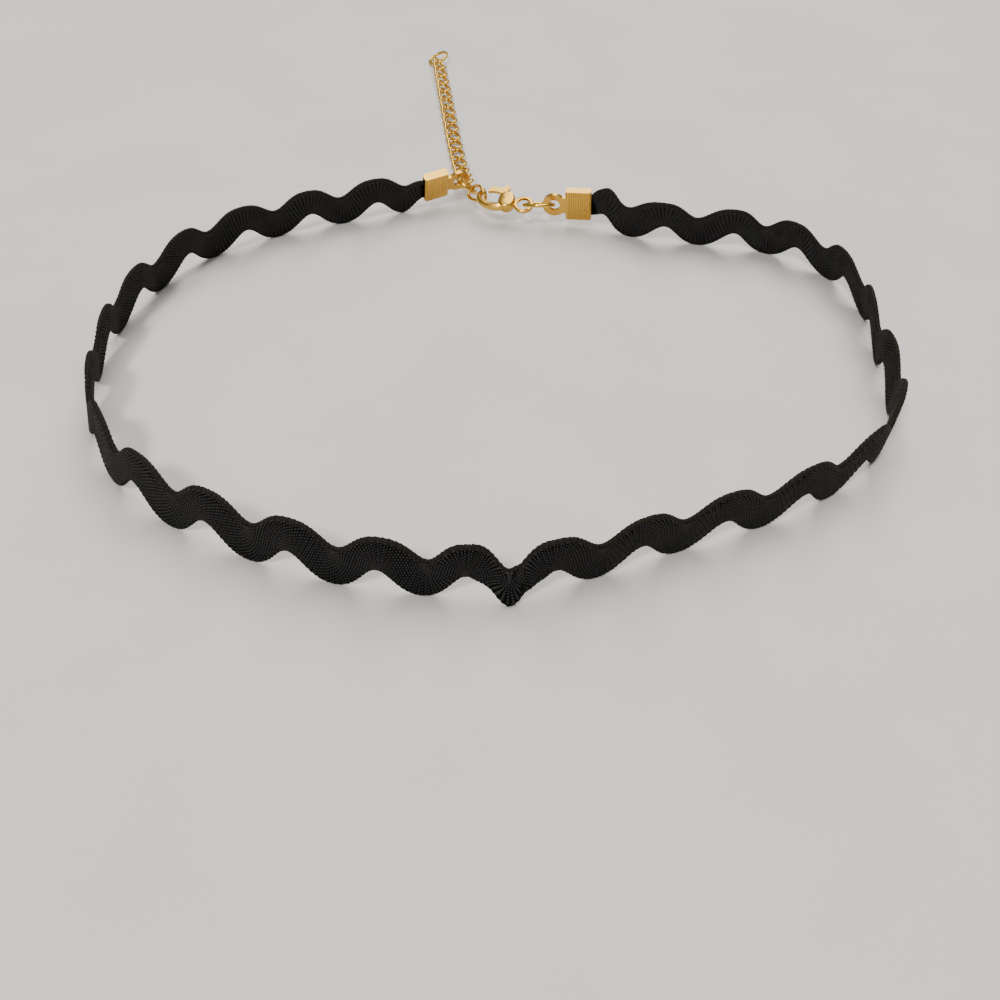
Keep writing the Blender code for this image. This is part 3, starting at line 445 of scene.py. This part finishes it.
def point_values(mesh, name, values):
    """Store one value for each vertex of a mesh."""
    mesh.attributes.new(name, "FLOAT", "POINT").data.foreach_set("value", values)


def tubes(name, paths, radius, swells=None):
    """Make a mesh of round yarns, one along each path, with the same count of points on each."""
    curve = bpy.data.curves.new(name, "CURVE")
    curve.dimensions = "3D"
    curve.bevel_depth = radius
    curve.bevel_resolution = 1
    for points in paths:
        spline = curve.splines.new("POLY")
        spline.points.add(len(points) - 1)
        spline.points.foreach_set("co", np.column_stack((points, np.ones(len(points)))).ravel())
        if swells is not None:
            spline.points.foreach_set("radius", swells)
    drawn = placed(name, curve)
    bpy.context.view_layer.update()
    depsgraph = bpy.context.evaluated_depsgraph_get()
    source = bpy.data.meshes.new_from_object(drawn.evaluated_get(depsgraph))
    shape = bmesh.new()
    shape.from_mesh(source)
    bpy.data.objects.remove(drawn, do_unlink=True)
    bpy.data.meshes.remove(source)
    # The ends are closed here, because caps of a curve would add points of their own
    bmesh.ops.holes_fill(shape, edges=shape.edges, sides=0)
    return smooth_object(name, shape, YARN)


def braid_cords(band):
    """Make the beaded cord inside each edge of the braid, which its yarns wrap as they turn."""
    pitch = band.wave_left / YARNS
    stations = np.arange(INNER_START, band.end - INNER_START, pitch / STEPS_PER_BEAD)
    lower, upper = band.edges(stations)
    inset = CORD_INSET + CORD_RADIUS
    cords = tubes("braid_cords", (band.surface(stations, lower + inset),
                                  band.surface(stations, upper - inset)), CORD_RADIUS,
                  1.0 + CORD_BEADING * np.cos(2 * math.pi * stations / pitch))
    count = len(cords.data.vertices)
    # The upper cord carries the painted rim light
    point_values(cords.data, "painted_rim_light", (np.arange(count) >= count // 2).astype(float))
    return cords


def yarn_course(band, yarn, stations):
    """Return one yarn's path, the strip's middle and normal beside it, and its share of rim.

    The yarn goes over one and under one, from edge to edge, and crosses the other face on its
    way back.
    """
    steps = np.arange(len(stations))
    lap = (steps / (2 * YARNS) + yarn / YARNS) % 1.0
    across = 1.0 - np.abs(1.0 - 2.0 * lap)
    # It runs along the edge for two columns while it turns
    widest = EDGE_SQUARENESS * (0.5 - 1 / YARNS)
    squared = 0.5 + np.clip(EDGE_SQUARENESS * (across - 0.5), -widest, widest)
    over = np.where((steps % 2 == 0) == (lap < 0.5), 1.0, -1.0)
    # It flattens within a step of the edge, and at the edge it lies between the two faces
    over[np.abs(across - 0.5) > 0.5 - 1.5 / YARNS] *= TURN_FLATNESS
    over[np.isclose(np.abs(across - 0.5), 0.5)] = 0.0
    middle = band.strip(stations, squared)
    nearby = band.strip(stations + NORMAL_STEP, squared)
    higher = band.strip(stations, squared + NORMAL_SHARE)
    normal = np.cross(nearby - middle, higher - middle)
    normal /= np.linalg.norm(normal, axis=1)[:, None]
    free = np.minimum(stations - band.left, band.right - stations)
    rise = CRIMPED_RISE + (YARN_RISE - CRIMPED_RISE) * smooth_step(free / RISE_FADE)
    # Share of the upper rim, which carries painted rim light
    rim = smooth_step((across - RIM_SHARE) / (1.0 - RIM_SHARE))
    return middle + normal * (over * rise)[:, None], middle, normal, rim


def braid_yarns(band, index):
    """Make one piece of the flat braid, with every third of its yarns."""
    column = band.wave_left / (2 * YARNS)
    count = math.floor((band.end - 2 * YARN_START) / column)
    stations = np.arange(count) * column + YARN_START
    paths, middles, normals, rims = zip(*(yarn_course(band, yarn, stations)
                                          for yarn in range(index, YARNS, YARN_PIECES)))
    piece = tubes(f"braid_yarns_{index + 1}", paths, YARN_RADIUS)
    points = len(piece.data.vertices)
    sides = points // (len(paths) * count)
    places = np.empty(3 * points)
    piece.data.vertices.foreach_get("co", places)
    away = places.reshape(-1, 3) - np.repeat(np.vstack(middles), sides, axis=0)
    height = np.abs((away * np.repeat(np.vstack(normals), sides, axis=0)).sum(axis=1))
    # Painted glints: grey on the tops of the floats, where they stand highest from the strip
    point_values(piece.data, "painted_glint", smooth_step((height - FLOAT_TOP) / FLOAT_TOP_SPAN))
    # Painted rim light along the upper rim of the strip
    point_values(piece.data, "painted_rim_light", np.repeat(np.concatenate(rims), sides))
    return piece


def dress_braid():
    """Weave the band and stand its lowest yarn on the floor."""
    band = Band()
    pieces = [braid_yarns(band, index) for index in range(YARN_PIECES)]
    pieces += [braid_cords(band), braid_core(band)]
    lowest = min(min(v.co.z for v in piece.data.vertices) for piece in pieces)
    for piece in pieces:
        piece.data.transform(Matrix.Translation((0.0, 0.0, -lowest)))
        stand_for(piece, "ric_rac_band", "choker")


def welded(node):
    """Return a welded bmesh copy of a CAD node."""
    shape = bmesh.new()
    shape.from_mesh(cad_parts[node].data)
    bmesh.ops.remove_doubles(shape, verts=shape.verts, dist=WELD_DISTANCE)
    return shape


def round_wire(node):
    """Make a smooth copy of a CAD node of round wire: made of quads, and subdivided."""
    shape = welded(node)
    bmesh.ops.join_triangles(shape, faces=shape.faces, angle_face_threshold=QUAD_FACE_ANGLE,
                             angle_shape_threshold=QUAD_SHAPE_ANGLE)
    shape.normal_update()
    for vert in shape.verts:
        vert.co += vert.normal * WIRE_FULLNESS
    piece = smooth_object(f"{node}_finished", shape, WIRE_PLATE)
    rounding = piece.modifiers.new("rounding", "SUBSURF")
    rounding.levels = WIRE_LEVELS
    rounding.render_levels = WIRE_LEVELS
    stand_for(piece, node, "choker")


def worn_edges(node, body, width, segments):
    """Make a copy of a stamped or cast CAD node with softly worn edges."""
    shape = welded(node)
    bmesh.ops.dissolve_limit(shape, angle_limit=FLAT_ANGLE, verts=shape.verts, edges=shape.edges)
    piece = smooth_object(f"{node}_finished", shape, PLATE)
    piece.data.set_sharp_from_angle(angle=SHARP_ANGLE)
    worn = piece.modifiers.new("worn_edges", "BEVEL")
    worn.width = width
    worn.segments = segments
    worn.limit_method = "ANGLE"
    worn.angle_limit = SHARP_ANGLE
    worn.harden_normals = True
    stand_for(piece, node, body)


def dress_metal():
    """Finish every metal node."""
    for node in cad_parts:
        if "link" in node or "ring" in node:
            round_wire(node)
    worn_edges("crimp_left", "choker", 0.04 * MM, 2)
    worn_edges("crimp_right", "choker", 0.04 * MM, 2)
    worn_edges("clasp_body", "choker", 0.03 * MM, 1)
    worn_edges("clasp_lever", "clasp_lever", 0.08 * MM, 2)


def stage_scene():
    """Lay the floor and set soft studio light."""
    shape = bmesh.new()
    bmesh.ops.create_grid(shape, x_segments=1, y_segments=1, size=FLOOR_HALF)
    mesh = bpy.data.meshes.new("floor")
    shape.to_mesh(mesh)
    shape.free()
    mesh.materials.append(FLOOR)
    placed("floor", mesh)
    world = bpy.data.worlds.new("soft_room")
    world.use_nodes = True
    background = world.node_tree.nodes["Background"]
    background.inputs["Color"].default_value = linear("#F4F1EC")
    background.inputs["Strength"].default_value = ROOM_STRENGTH
    bpy.context.scene.world = world
    for name, place, size, power in SOFTBOXES:
        light = bpy.data.lights.new(name, "AREA")
        light.size = size
        light.energy = power
        obj = placed(name, light)
        obj.location = place
        obj.rotation_euler = (-Vector(place)).to_track_quat("-Z", "Y").to_euler()


def set_camera():
    """Stand the camera where the photo was taken from."""
    forward = Vector((0.0, math.cos(CAMERA_PITCH), -math.sin(CAMERA_PITCH)))
    level = Vector((1.0, 0.0, 0.0))
    rise = Vector((0.0, math.sin(CAMERA_PITCH), math.cos(CAMERA_PITCH)))
    right = level * math.cos(CAMERA_ROLL) + rise * math.sin(CAMERA_ROLL)
    up = rise * math.cos(CAMERA_ROLL) - level * math.sin(CAMERA_ROLL)
    data = bpy.data.cameras.new("photo_camera")
    data.sensor_width = CAMERA_SENSOR
    data.lens = CAMERA_LENS
    data.clip_start = 0.01
    camera = placed("photo_camera", data)
    turned = Matrix((right, up, -forward)).transposed().to_4x4()
    turned.translation = Vector(CAMERA_PLACE) - Vector((*PLAN_MIDDLE, 0.0))
    camera.matrix_world = turned
    bpy.context.scene.camera = camera


stage_scene()
set_camera()
dress_braid()
dress_metal()
